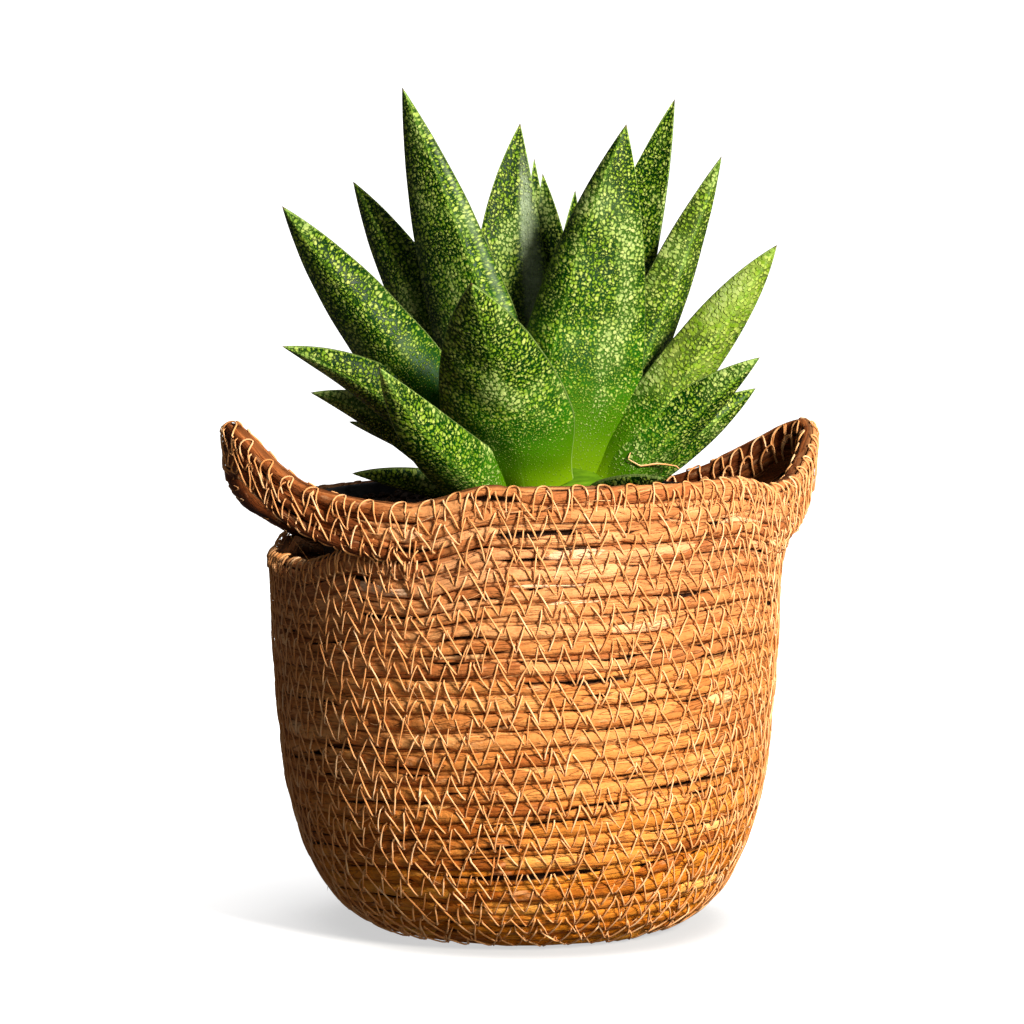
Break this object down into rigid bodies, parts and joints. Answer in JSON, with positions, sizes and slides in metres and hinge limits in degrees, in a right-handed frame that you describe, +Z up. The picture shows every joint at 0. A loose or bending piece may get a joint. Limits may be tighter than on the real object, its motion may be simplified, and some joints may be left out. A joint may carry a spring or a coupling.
{
  "type": "potted ox tongue succulent",
  "caption": "Rosette of thick keeled succulent leaves in a nursery pot of soil, standing in a round coiled seagrass basket with pointed handles.",
  "frame": {"origin": "centre of the underside of the basket, on the surface that it stands on", "axes": "+Z up, handles along X, the larger handle towards -X"},
  "size_m": [0.2179, 0.1706, 0.28],
  "materials": {
    "seagrass": "twisted dry seagrass strands, golden brown, stitched with pale thread",
    "nursery_plastic": "thin black plastic, half gloss",
    "soil": "dark crumbly potting soil, matte",
    "stem": "pale green succulent stem, satin",
    "leaf": "dark green waxy skin with pale spots in loose bands and thin pale edges, half gloss"
  },
  "bodies": {
    "root": {"basket_body": "seagrass", "rim_band": "seagrass", "nursery_pot": "nursery_plastic", "potting_soil": "soil", "stem_crown": "stem", "leaf_01": "leaf", "leaf_02": "leaf", "leaf_03": "leaf", "leaf_04": "leaf", "leaf_05": "leaf", "leaf_06": "leaf", "leaf_07": "leaf", "leaf_08": "leaf", "leaf_09": "leaf", "leaf_10": "leaf", "leaf_11": "leaf", "leaf_12": "leaf", "leaf_13": "leaf", "leaf_14": "leaf", "leaf_15": "leaf", "leaf_16": "leaf", "leaf_17": "leaf", "leaf_18": "leaf", "leaf_19": "leaf", "leaf_20": "leaf", "leaf_21": "leaf", "leaf_22": "leaf", "leaf_23": "leaf", "leaf_24": "leaf", "leaf_25": "leaf"}
  },
  "joints": []
}
